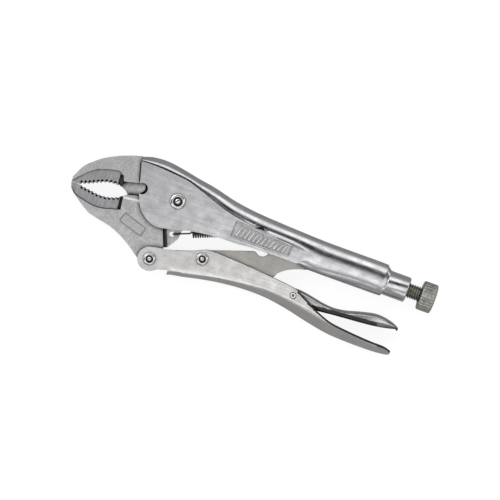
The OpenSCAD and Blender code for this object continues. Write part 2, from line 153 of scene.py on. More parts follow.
def along(p, d):
    for a, b in zip(p, p[1:]):
        s = math.dist(a, b)
        if d <= s and s > 0:
            return (a[0] + (b[0] - a[0]) * d / s, a[1] + (b[1] - a[1]) * d / s)
        d -= s
    return p[-1]


def grown(outline, d):
    """The outline moved outwards by d; it runs anticlockwise for a positive d."""
    out = []
    n = len(outline)
    for i in range(n):
        a, b = outline[i - 1], outline[(i + 1) % n]
        t = Vector((b[0] - a[0], b[1] - a[1]))
        t = t.normalized() if t.length > 1e-9 else Vector((1, 0))
        out.append((outline[i][0] + t.y * d, outline[i][1] - t.x * d))
    return out


def area(p):
    return sum(a[0] * b[1] - b[0] * a[1] for a, b in zip(p, p[1:] + p[:1])) / 2


# ---------------------------------------------------------------- meshes

SHARP = math.radians(32)


def mesh_object(name, verts, faces, fix=True):
    """An object from points in working mm. Faces turn outwards and edges sharper than SHARP stay sharp."""
    bm = bmesh.new()
    vs = [bm.verts.new(world(v)) for v in verts]
    for f in faces:
        if len(set(f)) == len(f):
            bm.faces.new([vs[i] for i in f])
    bmesh.ops.remove_doubles(bm, verts=bm.verts, dist=1e-7)
    bmesh.ops.recalc_face_normals(bm, faces=bm.faces)
    if fix and bm.calc_volume(signed=True) < 0:
        bmesh.ops.reverse_faces(bm, faces=bm.faces)
    me = bpy.data.meshes.new(name)
    bm.to_mesh(me)
    bm.free()
    obj = bpy.data.objects.new(name, me)
    bpy.context.scene.collection.objects.link(obj)
    smooth(obj)
    return obj


def smooth(obj, angle=SHARP):
    bm = bmesh.new()
    bm.from_mesh(obj.data)
    for f in bm.faces:
        f.smooth = True
    for e in bm.edges:
        e.smooth = not (len(e.link_faces) == 2 and e.calc_face_angle(0) > angle)
    bm.to_mesh(obj.data)
    bm.free()


def prism(name, outline, z0, z1, flare=0.0):
    """A slab from z0 to z1; flare moves the z1 end of its outline outwards."""
    if area(outline) < 0:
        outline = outline[::-1]
    n = len(outline)
    top = grown(outline, flare) if flare else outline
    verts = [(x, y, z0) for x, y in outline] + [(x, y, z1) for x, y in top]
    faces = [list(range(n))[::-1], [n + i for i in range(n)]]
    faces += [[i, (i + 1) % n, n + (i + 1) % n, n + i] for i in range(n)]
    return mesh_object(name, verts, faces)


def post(name, c, r, z0, z1, n=48):
    return prism(name, arc(c, r, r, 0, 360 * (n - 1) / n, n - 1), z0, z1)


def combine(obj, operation, others):
    """Joins or cuts obj with others, which are used up."""
    for other in others:
        m = obj.modifiers.new("combine", "BOOLEAN")
        m.object = other
        m.operation = operation
        m.solver = "EXACT"
        baked(obj)
        bpy.data.objects.remove(other)
    return obj


def joined(name, objs):
    """One mesh of several that don't touch."""
    verts, faces = [], []
    for obj in objs:
        n = len(verts)
        verts += [(v.co - ORIGIN) / MM for v in obj.data.vertices]
        faces += [[n + i for i in f.vertices] for f in obj.data.polygons]
        bpy.data.objects.remove(obj)
    return mesh_object(name, verts, faces, fix=False)


def baked(obj):
    """Puts the result of obj's modifiers into its mesh."""
    bpy.context.view_layer.update()
    graph = bpy.context.evaluated_depsgraph_get()
    me = bpy.data.meshes.new_from_object(obj.evaluated_get(graph))
    obj.modifiers.clear()
    obj.data = me
    return obj


def rounded(obj, width, segments=3, angle=40):
    """Rounds the edges sharper than angle, to a width in mm."""
    bm = bmesh.new()
    bm.from_mesh(obj.data)
    bmesh.ops.dissolve_degenerate(bm, dist=1e-6, edges=bm.edges)
    bm.to_mesh(obj.data)
    bm.free()
    m = obj.modifiers.new("round", "BEVEL")
    m.width = width * MM
    m.segments = segments
    m.limit_method = "ANGLE"
    m.angle_limit = math.radians(angle)
    m.use_clamp_overlap = True
    m.harden_normals = False
    baked(obj)
    smooth(obj, math.radians(50))
    w = obj.modifiers.new("normals", "WEIGHTED_NORMAL")
    w.keep_sharp = True
    w.weight = 90
    return obj


def turned(name, profile, n, place, closed=False):
    """A turned shape: profile is (along, radius) or (along, a function of the angle)."""
    verts = []
    for s, r in profile:
        for k in range(n):
            t = 2 * math.pi * k / n
            q = r(t) if callable(r) else r
            verts.append(place(s, q * math.cos(t), q * math.sin(t)))
    m = len(profile)
    faces = []
    for i in range(m if closed else m - 1):
        j = (i + 1) % m
        faces += [[i * n + k, i * n + (k + 1) % n, j * n + (k + 1) % n, j * n + k] for k in range(n)]
    if not closed:
        faces += [list(range(n)), [(m - 1) * n + k for k in range(n)]]
    return mesh_object(name, verts, faces)


def tube(name, path, r, sides=12):
    """A round wire along a path of points in working mm."""
    verts = []
    n = len(path)
    up = Vector((0.12, 0.1, 1))
    for i in range(n):
        d = Vector(path[min(n - 1, i + 1)]) - Vector(path[max(0, i - 1)])
        d.normalize()
        s = d.cross(up).normalized()
        v = d.cross(s)
        for k in range(sides):
            t = 2 * math.pi * k / sides
            verts.append(Vector(path[i]) + r * (math.cos(t) * s + math.sin(t) * v))
    faces = []
    for i in range(n - 1):
        a, b = i * sides, (i + 1) * sides
        faces += [[a + k, b + k, b + (k + 1) % sides, a + (k + 1) % sides] for k in range(sides)]
    faces += [list(range(sides)), [(n - 1) * sides + k for k in range(sides)]]
    return mesh_object(name, verts, faces)


# A folded sheet is a row of half sections (x, outer, inner) from the free edge to the middle of
# the fold, each a list of (y, z). Its flat front, ahead of row full_from, has an outline of its own.

def folded(name, rows, bend_col, full_from, outline, z_out, z_in):
    verts_out, verts_in, faces = [], [], []
    grid = []

    def add(x, outer, inner):
        verts_out.append((x, outer[0], outer[1]))
        verts_in.append((x, inner[0], inner[1]))
        return len(verts_out) - 1

    for side in (1, -1):
        ids = []
        for i, (x, outer, inner) in enumerate(rows):
            first = 0 if i >= full_from else bend_col
            row = {}
            for j in range(first, len(outer)):
                if side < 0 and j == len(outer) - 1:
                    row[j] = grid[0][i][j]
                    continue
                row[j] = add(x, (outer[j][0], side * outer[j][1]), (inner[j][0], side * inner[j][1]))
            ids.append(row)
        grid.append(ids)
        flat = [add(x, (y, side * z_out), (y, side * z_in)) for x, y in outline]
        loop = [ids[i][bend_col] for i in range(full_from, -1, -1)] + flat
        loop += [ids[full_from][j] for j in range(bend_col)]
        faces.append(loop if side > 0 else loop[::-1])
        for i in range(len(rows) - 1):
            for j in sorted(ids[i]):
                if j + 1 in ids[i] and j in ids[i + 1] and j + 1 in ids[i + 1]:
                    quad = [ids[i][j], ids[i + 1][j], ids[i + 1][j + 1], ids[i][j + 1]]
                    faces.append(quad if side < 0 else quad[::-1])
    n = len(verts_out)
    edges = {}
    for f in faces:
        for a, b in zip(f, f[1:] + f[:1]):
            key = (min(a, b), max(a, b))
            edges[key] = edges.get(key, 0) + 1
    inner = [[v + n for v in f[::-1]] for f in faces]
    rim = [[a, b, b + n, a + n] for (a, b), count in edges.items() if count == 1]
    return mesh_object(name, verts_out + verts_in, faces + inner + rim)


CURL_N, PLATE_N, CROWN_N = 8, 6, 16
BEND_COL = 1 + CURL_N + PLATE_N
FOLD_FLAT = 0.8
LEAST_CROWN, LEAST_CURL = 0.4, 0.3
GROOVE_WIDE = 0.65


def half_section(top, lip, half, crown, curl, gap, t, up, power=2.0, groove=0.0, groove_wide=GROOVE_WIDE):
    """Outer and inner halves of a folded section. up = -1 has the fold underneath."""
    result = []
    for inset in (0, t):
        w = half - inset
        across = max(LEAST_CROWN, half - FOLD_FLAT - inset)
        tall = max(LEAST_CROWN, crown - inset)
        web = up * top - inset
        free = up * lip + (inset if curl > 1 else 0)
        curl_z = max(LEAST_CURL, min(curl, half - gap - 0.02) - inset)
        curl_y = max(LEAST_CURL, curl - inset)
        pts = [(free, min(gap, w - curl_z))]
        for i in range(CURL_N + 1):
            a = math.radians(-90 + 90 * i / CURL_N)
            pts.append((free + curl_y + curl_y * math.sin(a), w - curl_z + curl_z * math.cos(a)))
        bend = web - tall
        low_end = free + curl_y
        brim = max(low_end + 0.02, bend - groove_wide)
        for i in range(1, PLATE_N):
            pts.append((low_end + (brim - low_end) * i / PLATE_N, w))
        pts.append((brim, w))
        pts.append(((brim + bend) / 2, w - (groove if inset == 0 else 0)))
        for i in range(CROWN_N + 1):
            a = math.radians(90 * i / CROWN_N)
            c = max(0.0, math.cos(a)) ** (2 / power)
            s = max(0.0, math.sin(a)) ** (2 / power)
            pts.append((bend + tall * s, w - across + across * c))
        pts.append((web, 0.0))
        result.append([(up * y, z) for y, z in pts])
    return result


# ---------------------------------------------------------------- frame

TOP = Rail((-34, 21.4), (-30, 23.2), (-24, 24.9), (-15, 25.45), (-5, 24.2), (8, 21.7), (20, 19.7), (35, 16.1),
           (50, 14), (66, 12.9), (85, 12), (95, 11.6), (108, 11.4), (140, 11.4), (NECK_FROM, 10.6),
           (COLLAR_FROM, 9.2), (NECK_TO, NECK_R), (SHELL_END, NECK_R))
CREASE = Rail((-34, 19.6), (-31, 20.3), (-20, 20.4), (-10, 19.7), (0, 18.7), (5, 17.6), (12, 15.3),
              (20, 12.7), (25, 10.8), (30, 9.2), (38, 7.3), (50, 5.5), (62, 4.8), (78, 4), (88, 2.4), (97, 1),
              (106, 0.8), (140, 0.8), (NECK_FROM, 0.7), (NECK_TO, 0.1), (SHELL_END, 0.1))
LOWER = Rail((-3, -16.6), (5, -14.8), (15, -12.2), (30, -10.2), (45, -9.8), (55, -8.9), (84, -8.8),
             (92, -9.4), (98, -9.9), (140, -9.8), (NECK_FROM, -9.2), (COLLAR_FROM, -8.4),
             (NECK_TO, -NECK_R), (SHELL_END, -NECK_R))
# half width, curl of the lips, half gap between them, groove along the crease, roundness of the ridge
SHAPE = Rail((-34, HALF_OUT, 0.3, HALF_IN, 0.55, 1.7), (20, HALF_OUT, 0.3, HALF_IN, 0.5, 1.8),
             (50, HALF_OUT, 0.3, HALF_IN, 0.3, 1.9), (70, HALF_OUT, 0.3, HALF_IN, 0.3, 1.95),
             (84, HALF_OUT, 0.4, HALF_IN, 0.2, 2), (87, HALF_OUT, 2.2, 4.8, 0.1, 2),
             (91, HALF_OUT, 6.4, 4.0, 0, 2), (95, HALF_OUT, 8.8, 3.5, 0, 2), (104, HALF_OUT, 9.4, 3.5, 0, 2),
             (124, HALF_OUT, 9.4, 1, 0, 2), (138, HALF_OUT, 9.4, 1, 0, 2),
             (NECK_FROM, HALF_OUT + 0.1, 8.8, 1, 0, 2), (COLLAR_FROM, HALF_OUT, 7.2, 1, 0, 2),
             (NECK_TO, NECK_R, 7.2, 1, 0, 2), (SHELL_END, NECK_R, 7.2, 1, 0, 2))
# The groove along the crease widens round GROOVE_AT, where the ridge fades into the tube.
GROOVE_AT, GROOVE_SPREAD, GROOVE_GAIN = 72, 15, 1.3
LEAST_RIDGE = 1.5


def frame_row(x):
    half, curl, gap, groove, power = SHAPE.at(x)
    top = TOP.at(x)[0]
    crown = max(LEAST_RIDGE, top - CREASE.at(x)[0])
    wide = GROOVE_WIDE + GROOVE_GAIN * math.exp(-((x - GROOVE_AT) / GROOVE_SPREAD) ** 2)
    outer, inner = half_section(top, LOWER.at(x)[0], half, crown, curl, gap, SHEET, 1, power, groove, wide)
    return (x, outer, inner)


NOTCH_AT, NOTCH_R = (-24.5, 3), 3.7
# From FULL_FROM back the section curls round to a tube, which needs closer rows from NECK_NEAR on.
FULL_FROM, NECK_NEAR = 68, 140
front_xs = spaced(-30.9, FULL_FROM, 1.6)
rear_xs = spaced(FULL_FROM, NECK_NEAR, 1.5)[1:] + spaced(NECK_NEAR, SHELL_END, 0.5)[1:]
frame_rows = [frame_row(x) for x in front_xs + rear_xs]
front_edge = [(-30.6, 18.6), (-29.2, 13.5), (-27.4, 7)]
notch = arc(NOTCH_AT, NOTCH_R, NOTCH_R, 130, -100, 18)
front_low = curve([(-25.3, -1), (-21.5, -9), (-17, -13.5), (-12, -16.3), (-7, -17.2), (-3, -16.6)], 6)
low_edge = [(x, LOWER.at(x)[0]) for x in spaced(-1, FULL_FROM, 1.5)[:-1]]
shell = folded("frame_shell", frame_rows, BEND_COL, len(front_xs) - 1,
               front_edge + notch + front_low + low_edge, HALF_OUT, HALF_IN)

# the slot and the tab under it, which the spring's rear hook goes round
SLOT_AT, SLOT_LONG, SLOT_HIGH = (57, 5.6), 9, 3.2
slot_r = SLOT_HIGH / 2
slot_reach = SLOT_LONG / 2 - slot_r
slot_line = arc((SLOT_AT[0] + slot_reach, SLOT_AT[1]), slot_r, slot_r, -90, 90, 12)
slot_line += arc((SLOT_AT[0] - slot_reach, SLOT_AT[1]), slot_r, slot_r, 90, 270, 12)
SLOT_CUT = (3, 9)  # through the near side only
combine(shell, "DIFFERENCE", [prism("slot_cut", slot_line, *SLOT_CUT)])
rounded(shell, 0.35, 3, 48)

BAR_X, BAR_Y = 1, 0.6
bar_at = (SLOT_AT[0], SLOT_AT[1] - slot_r - BAR_Y)
anchor = prism("spring_anchor", [(bar_at[0] + sx * BAR_X, bar_at[1] + sy * BAR_Y)
                                 for sx, sy in ((-1, -1), (1, -1), (1, 1), (-1, 1))], -HALF_IN, HALF_IN)
rounded(anchor, 0.25, 2)


def on_axis(s, a, b):
    return (s, a, b)


COLLAR_ROUND = 1.1
BORE_R, BORE_CHAMFER = SCREW_R + 0.1, 0.8


def collar_edge(x, start, end):
    """A quarter round of the collar's rim, in degrees from straight out."""
    return [(x + COLLAR_ROUND * math.sin(math.radians(a)),
             COLLAR_R - COLLAR_ROUND + COLLAR_ROUND * math.cos(math.radians(a)))
            for a in range(start, end + 1, 15)]


collar_line = [(COLLAR_FROM - 0.2, BORE_R)]
collar_line += collar_edge(COLLAR_FROM + COLLAR_ROUND, -90, 0) + collar_edge(FRAME_END - COLLAR_ROUND, 0, 90)
collar_line += [(FRAME_END, BORE_R + BORE_CHAMFER), (FRAME_END - BORE_CHAMFER, BORE_R)]
collar = turned("frame_collar", collar_line, 96, on_axis, closed=True)

# plain hatched relief on the frame's side: slanted bars in a border, on a slightly raised ground
RELIEF_RISE, RELIEF_SUNK, GROUND_RISE = 0.45, 0.3, 0.08
BAR_N, BAR_PITCH, BAR_WIDE, BAR_SLANT = 12, 2.85, 1.3, 2.2
BAR_FROM, BAR_LOW, BAR_HIGH, BAR_FALL = 42.2, -5.2, 2.0, 0.06
border = [(40, -6.6), (79.5, -6.2), (79.5, 1.8), (40, 4.2)]
bars = []
for i in range(BAR_N):
    x = BAR_FROM + i * BAR_PITCH
    y = BAR_HIGH - (x - border[0][0]) * BAR_FALL
    bar = [(x, BAR_LOW), (x + BAR_WIDE, BAR_LOW), (x + BAR_SLANT + BAR_WIDE, y), (x + BAR_SLANT, y)]
    bars.append(prism("bar", bar, HALF_OUT - RELIEF_SUNK, HALF_OUT + RELIEF_RISE))
rim = prism("relief_rim", border, HALF_OUT - RELIEF_SUNK, HALF_OUT + RELIEF_RISE)
combine(rim, "DIFFERENCE", [prism("relief_rim_in", grown(border, -0.8), 0, HALF_OUT + 1)])
ground = prism("relief_ground", grown(border, -0.5), HALF_OUT - RELIEF_SUNK, HALF_OUT + GROUND_RISE)
panel = joined("frame_relief", bars + [rim, ground])
rounded(panel, 0.3, 2)

# ---------------------------------------------------------------- jaws

UPPER_BACK = [(-69.5, -5), (-68, -1.5), (-65, 4.2), (-60, 9), (-55, 13), (-50, 15.8), (-45, 18.2),
              (-40, 20.2), (-35, 21.9), (-31.4, 22.8)]
LOWER_BACK = [(-69.3, -9), (-67.5, -13), (-62.5, -17), (-55, -22), (-50, -24.2), (-40, -26.3), (-35, -27.5),
              (-28, -30.4), (-20, -35), (-14.6, -38.8)]
UPPER_MOUTH = [(-64, -7.9), (-58, -5.6), (-53, -3.2), (-48, -1.2), (-43, -0.4), (-38.4, -0.6)]
LOWER_MOUTH = [(-63, -8.5), (-57, -9.2), (-51.5, -10), (-46, -9.9), (-41, -8.7), (-36.6, -6.8)]
TOOTH_PITCH, TOOTH_H = 2.7, 0.9
TOOTH_PROFILE = (0, 0.42, 1, 0.62)
GAP_R, GAP_LONG, GAP_FLARE, GAP_PAST = 0.4, 3.4, 0.8, 0.25
CUT_OVER = 0.6
ZONE_STEP, ZONE_FLARE, END_FLARE = 0.8, 0.7, 0.35
HUB_AT, HUB_R = (0, 3), 12
NOTCH_DEPTH = 1.5
TAB_HALF, TAB_ROOT = 1.5, 2.2
SCRIBE_DEPTH = 0.6


def teeth_along(p, per_tooth, start):
    """Places along a mouth's curve, each with the curve's direction there.

    There are per_tooth to a tooth, and the first is start steps from the curve's front end.
    """
    path = curve(p, 10)
    count = int(length(path) / TOOTH_PITCH)
    step = length(path) / count
    out = []
    for i in range(per_tooth * count + (1 if start == 0 else 0)):
        d = (i + start) * step / per_tooth
        a, b = along(path, d - 0.2), along(path, d + 0.2)
        u = Vector((b[0] - a[0], b[1] - a[1]))
        out.append((along(path, d), u.normalized() if u.length > 1e-9 else Vector((1, 0))))
    return out


def toothed(p, side):
    out = []
    for i, (q, u) in enumerate(teeth_along(p, 4, 0)):
        deep = TOOTH_H * side * TOOTH_PROFILE[i % 4]
        out.append((q[0] - u.y * deep, q[1] + u.x * deep))
    return out


def tooth_gaps(obj, p, side, half):
    """Flared gaps between the teeth, on both faces of a jaw."""
    deep = (TOOTH_H + GAP_PAST) * side
    cones = []
    for q, u in teeth_along(p, 1, 0.5):
        spot = arc((q[0] - u.y * deep, q[1] + u.x * deep), GAP_R, GAP_R, 0, 330, 11)
        cones.append(prism("gap", spot, half - GAP_LONG, half + CUT_OVER, GAP_FLARE))
        cones.append(prism("gap", spot, GAP_LONG - half, -half - CUT_OVER, GAP_FLARE))
    return combine(obj, "DIFFERENCE", [joined("tooth_gaps", cones)])


def faced(obj, outline, half, depth, flare):
    """Sinks an outline into both faces of a jaw, with sloping walls."""
    flare *= (depth + CUT_OVER) / depth
    cuts = [prism("zone_near", outline, half - depth, half + CUT_OVER, flare),
            prism("zone_far", outline, depth - half, -half - CUT_OVER, flare)]
    return combine(obj, "DIFFERENCE", cuts)


def scribed(obj, p, half_width, half):
    """Cuts a narrow seam along a path into the near and far faces of a jaw."""
    near_side, far_side = [], []
    for i, q in enumerate(p):
        a, b = p[max(0, i - 1)], p[min(len(p) - 1, i + 1)]
        u = Vector((b[0] - a[0], b[1] - a[1])).normalized() * half_width
        near_side.append((q[0] - u.y, q[1] + u.x))
        far_side.append((q[0] + u.y, q[1] - u.x))
    loop = near_side + far_side[::-1]
    return combine(obj, "DIFFERENCE", [prism("seam_near", loop, half - SCRIBE_DEPTH, half + 1),
                                       prism("seam_far", loop, -half - 1, SCRIBE_DEPTH - half)])


# The jaws overlap in the cutter: the lower one has the far half, with twice CUTTER_GAP between them.
CUTTER_GAP = 0.07
HUB_CLEAR = 0.4
hub_hollow = HUB_R + HUB_CLEAR
fixed = prism("fixed_jaw_body", curve(UPPER_BACK, 6)
              + [(-31.3, 20.4), (-20, 20.2), (-10, 19.4), (0, 18.6), (4, 17.4)]
              + arc(HUB_AT, hub_hollow, hub_hollow, 72, 136, 16) + [(-12, 10), (-37.6, 3.1)]
              + toothed(UPPER_MOUTH, 1)[::-1] + [(-66.5, -8.2), (-69.3, -8.1)], -HALF_IN, HALF_IN)
far_half = prism("far_half", [(-42, 2), (-42, -3), (-30, -3), (-30, 3), (-12, 6), (-9, 9), (-12, 12),
                              (-37.6, 5.1)], -HALF_IN - 1, CUTTER_GAP)
combine(fixed, "DIFFERENCE", [far_half])
zone_high = curve([(-66, -4.6), (-63, -1.5), (-60, 1.5), (-55, 4.7), (-49, 6.8), (-43, 8), (-40.9, 7.6)], 6)
faced(fixed, zone_high + [(-38.6, -3), (-60, -12), (-73, -11)], HALF_IN, ZONE_STEP, ZONE_FLARE)
zone_high_end = [(-41, 7.3), (-39, 6.8), (-37.6, 3.2), (-38.4, -3), (-40, -3)]
faced(fixed, zone_high_end, HALF_IN, 2 * ZONE_STEP, END_FLARE)
tooth_gaps(fixed, UPPER_MOUTH, 1, HALF_IN)
# seams along the tongue's top and the frame's front edge, their floors painted black as painted shade lines
SEAM_HALF = 0.5
scribed(fixed, [(-37.6, 2.9), (-33.5, 3.5), (-26, 5.6)], SEAM_HALF, HALF_IN)
scribed(fixed, [(-31.2, 19.4), (-29.7, 13.6), (-27.9, 7)], SEAM_HALF, HALF_IN)
rounded(fixed, 0.35, 3, 38)

HOLE, HOLE_R = (3.3, -18.3), 1.6
EYE_R = 7.5
notch_clear = 4.3
low_jaw = prism("movable_jaw_body", toothed(LOWER_MOUTH, -1) + [(-34.4, -5.6), (-31.6, -3.1), (-24.4, -1.3)]
                + arc(NOTCH_AT, notch_clear, notch_clear, -80, 40, 10) + [(-12, 9.6)]
                + arc(HUB_AT, HUB_R, HUB_R, 139, -70, 40) + [(-3.5, -16.5), (1, -28)]
                + arc((B.x, B.y), EYE_R, EYE_R, 30, -160, 28)
                + curve(LOWER_BACK, 6)[::-1] + [(-69.3, -8.24), (-66.5, -8.3)], -JAW_HALF, JAW_HALF)
tongue = prism("tongue", [(-38.3, -0.2), (-37.8, 4.3), (-12, 11.2), (-8, 8), (-12, -6), (-24, -6),
                          (-32, -4.2), (-35, -1.8)], -JAW_HALF, -CUTTER_GAP)
tab = prism("spring_tab", [(-8, -12), (8.9, -12), (8.7, -15.5), (8.2, -20), (3.4, -27.5), (-4, -30)],
            -TAB_HALF, TAB_HALF)
# a raised strip at the tab's root, its faces painted black as painted shade along the step from the jaw to
# the tab
root = prism("tab_root", [(-4.5, -14), (-2.2, -14), (3.2, -26.6), (0.6, -28.6)], -TAB_ROOT, TAB_ROOT)
combine(low_jaw, "UNION", [tongue, tab, root])
# a shallow crescent cut in the jaw, along the rear of the notch in the frame's front edge, its floor painted
# black as painted shade
CRESCENT_R, CRESCENT_SHIFT = 3.9, (-2.4, 0.5)
inner_at = (NOTCH_AT[0] + CRESCENT_SHIFT[0], NOTCH_AT[1] + CRESCENT_SHIFT[1])
crescent = prism("crescent", arc(NOTCH_AT, CRESCENT_R, CRESCENT_R, -78, 78, 14)
                 + arc(inner_at, CRESCENT_R, CRESCENT_R, 66, -70, 14), -NOTCH_DEPTH, 1)
combine(low_jaw, "DIFFERENCE", [crescent])
combine(low_jaw, "DIFFERENCE", [post("tab_hole", HOLE, HOLE_R, -3, 3, 32)])
zone_low = curve([(-66.4, -12.6), (-64, -14.8), (-58, -16.5), (-51, -17.7), (-45, -17.4), (-38, -15.5),
                  (-34.6, -14.7)], 6)
faced(low_jaw, zone_low + [(-35.2, -4), (-60, -4), (-73, -7)], JAW_HALF, ZONE_STEP, ZONE_FLARE)
zone_low_end = [(-36.6, -4), (-35, -4), (-33.6, -14.6), (-35.3, -15.4)]
faced(low_jaw, zone_low_end, JAW_HALF, 2 * ZONE_STEP, END_FLARE)
tooth_gaps(low_jaw, LOWER_MOUTH, -1, JAW_HALF)
# the cutter's ground facet, painted bright as a painted highlight, and the seam under its lip, painted black
# as painted shade
FACET_DEPTH, FACET_FLARE, LIP_DEPTH = 0.8, 2.6, 1.3
facet = prism("cutter_facet", [(-33.9, -5.6), (-23.7, -4.6), (-20, 0), (-33, -1)],
              JAW_HALF - FACET_DEPTH, JAW_HALF + 0.4, FACET_FLARE)
combine(low_jaw, "DIFFERENCE", [facet])
lip = prism("lip_seam", [(-32.6, -4.2), (-24.4, -2.2), (-24.4, -0.9), (-32.6, -2.7)],
            JAW_HALF - LIP_DEPTH, JAW_HALF + 1)
combine(low_jaw, "DIFFERENCE", [lip])


def rounded_box(c, half_x, half_y, r, turn, n=5):
    cos, sin = math.cos(turn), math.sin(turn)
    out = []
    for sx, sy, a in ((-1, -1, 180), (1, -1, 270), (1, 1, 0), (-1, 1, 90)):
        corner = arc((sx * (half_x - r), sy * (half_y - r)), r, r, a, a + 90, n)
        out += [(c[0] + x * cos - y * sin, c[1] + x * sin + y * cos) for x, y in corner]
    return out


STAMP_AT, STAMP_TURN = (-22.5, -21), math.radians(-17.5)
STAMP_X, STAMP_Y, STAMP_LINE, STAMP_DEPTH = 8.8, 3.5, 0.8, 0.3
stamp_out = rounded_box(STAMP_AT, STAMP_X, STAMP_Y, 1, STAMP_TURN)
stamp_in = rounded_box(STAMP_AT, STAMP_X - STAMP_LINE, STAMP_Y - STAMP_LINE, 0.7, STAMP_TURN)
stamp = prism("stamp", stamp_out, JAW_HALF - STAMP_DEPTH, JAW_HALF + 1)
combine(stamp, "DIFFERENCE", [prism("stamp_in", stamp_in, 0, JAW_HALF + 2)])
combine(low_jaw, "DIFFERENCE", [stamp])
rounded(low_jaw, 0.35, 3, 38)

# ---------------------------------------------------------------- lower handle

# the fold's low edge, height of its rounding, and how far its sides bulge: x, low, height, bulge
WEB = Rail((-16, -56, 3, 0), (2, -52, 3, 0), (8.5, -44.6, 2.6, 0), (20, -41.9, 2.5, 0),
           (32, -39.3, 2.5, 0), (45, -37.2, 2.8, 0), (60, -36, 3.4, 0), (75, -36.3, 4.9, 0),
           (90, -38.6, 6, 0), (105, -41.9, 7.2, 0.3), (120, -44.6, 7, 0.8), (135, -45.4, 6, 1.2),
           (150, -45.4, 5, 1), (158, -44.8, 4, -0.6), (161.5, -44.2, 3, -2.4), (163, -43.4, 2, -3.6))
BRIM = Rail((-5, -30), (3, -28.7), (10, -26.9), (20, -23.6), (27, -20.4), (31, -19.5), (45, -19.9),
            (60, -20.9), (80, -22.6), (91, -24), (96, -26.2), (101, -29), (110, -33.2), (120, -36.8),
            (130, -38.2), (140, -39.1), (150, -39.7), (158, -39.8), (161.5, -40.6), (162.9, -41.6))


def handle_row(x):
    web, crown, extra = WEB.at(x)
    brim = BRIM.at(x)[0]
    crown = min(crown, brim - web - 1.0)
    half, gap = HALF_OUT + extra, HALF_IN + extra
    outer, inner = half_section(web, brim, half, crown, 0.3, gap, SHEET, -1, 1.4, 0.12)
    return (x, outer, inner)


# The fold starts at FOLD_FROM, and ahead of it the two flat ears hold the handle's rivet.
FOLD_FROM, SLOPE_FROM = 9, 100
EAR_R = 7.95
PIN_R, PIN_SEAM, PIN_GAP = 1.9, 0.5, 0.35
handle_xs = spaced(FOLD_FROM, SLOPE_FROM, 1.8) + spaced(SLOPE_FROM, 162.8, 1.2)[1:]
ear = [(6.2, -41.9)] + arc((B.x, B.y), EAR_R, EAR_R, 318, 92, 44)
brim_line = [(x, BRIM.at(x)[0]) for x in spaced(-4, FOLD_FROM, 1.3)[:-1]]
lower = folded("lower_handle_shell", [handle_row(x) for x in handle_xs], BEND_COL, 0, ear + brim_line,
               HALF_OUT, HALF_IN)
# a seam round the lever pin, which is painted dark grey as painted shade
for z in (HALF_OUT - PIN_SEAM, -HALF_OUT - 1):
    combine(lower, "DIFFERENCE", [post("pin_seam", (E.x, E.y), PIN_R + PIN_GAP, z, z + 1 + PIN_SEAM, 40)])
rounded(lower, 0.4, 3, 48)

# ---------------------------------------------------------------- toggle link

link_low = curve([(93, -10.4), (88, -11.7), (82, -14.4), (76.9, -18.4), (75.4, -21.4), (73, -23.2)], 5)
LINK_EYE_R, NOSE_AT, NOSE_R, HUMP_AT, HUMP_R = 6, (108, 0), 3, (62.3, -7.5), 4.5
link = prism("toggle_link_plate", arc((C.x, C.y), LINK_EYE_R, LINK_EYE_R, 100, 280, 24) + link_low[::-1]
             + arc(NOSE_AT, NOSE_R, NOSE_R, -70, 75, 14) + [(68, -4)]
             + arc(HUMP_AT, HUMP_R, HUMP_R, 40, -140, 18) + [(57, -10.4)], -LINK_HALF, LINK_HALF)
rounded(link, 0.45, 3)

# ---------------------------------------------------------------- release lever

# the fold's top edge, and how far its sides bulge
LEVER_TOP = Rail((71, -26.6, -0.6), (80, -25.8, 0), (87, -24.6, 0), (93, -23.7, 0), (101, -24.7, 0),
                 (111, -26.6, 0), (119, -27.2, 0), (127, -26.1, 0.5), (136, -23.6, 1.6), (145, -21.6, 2.4),
                 (152, -21.7, 2.2), (159, -23.4, 0.6), (163, -25.6, -2.2))
LEVER_LOW = Rail((71, -29.4), (73, -30), (84, -33.2), (96, -33.6), (110, -32.8), (120, -31.8), (140, -30.2),
                 (150, -29), (158, -27.4), (163.2, -26))
LEVER_HALF = (JAW_HALF + HALF_IN) / 2 - 0.2
LEVER_SHEET = 1.8


def lever_row(x):
    top, extra = LEVER_TOP.at(x)
    lip = LEVER_LOW.at(x)[0]
    half = LEVER_HALF + extra
    crown = min(2.6, (top - lip) * 0.5)
    curl = max(0.3, min(2.0, (top - lip) * 0.36))
    outer, inner = half_section(top, lip, half, crown, curl, half - LEVER_SHEET, LEVER_SHEET, 1, 1.8, 0.0)
    return (x, outer, inner)


LEVER_FRONT, LEVER_PINCH = 70.6, 0.6
lever_rows = [lever_row(x) for x in spaced(71, 162.6, 1.4)]
first_outer = lever_rows[0][1]
lever_front = [(LEVER_FRONT, first_outer[BEND_COL][0]), (LEVER_FRONT, first_outer[0][0])]
lever = folded("release_lever_shell", lever_rows, BEND_COL, 0, lever_front,
               LEVER_HALF - LEVER_PINCH, LEVER_HALF - LEVER_PINCH - LEVER_SHEET)
rounded(lever, 0.3, 3, 48)

# ---------------------------------------------------------------- screw and knob

PITCH, DEPTH, TIP_CHAMFER = 1.6, 0.8, 1.2
CREST, FLANK = 0.18, 0.55
THREAD_TO = KNOB_FROM + 0.6


def thread_r(x, t):
    """The thread's radius at x and at the angle t, with a chamfered tip."""
    if x < SCREW_TIP + TIP_CHAMFER:
        return SCREW_R - TIP_CHAMFER + (x - SCREW_TIP)
    share = (x / PITCH - t / (2 * math.pi)) % 1.0
    wave = abs(share - 0.5) * 2
    return SCREW_R - DEPTH * min(1, max(0, (wave - CREST) / FLANK))


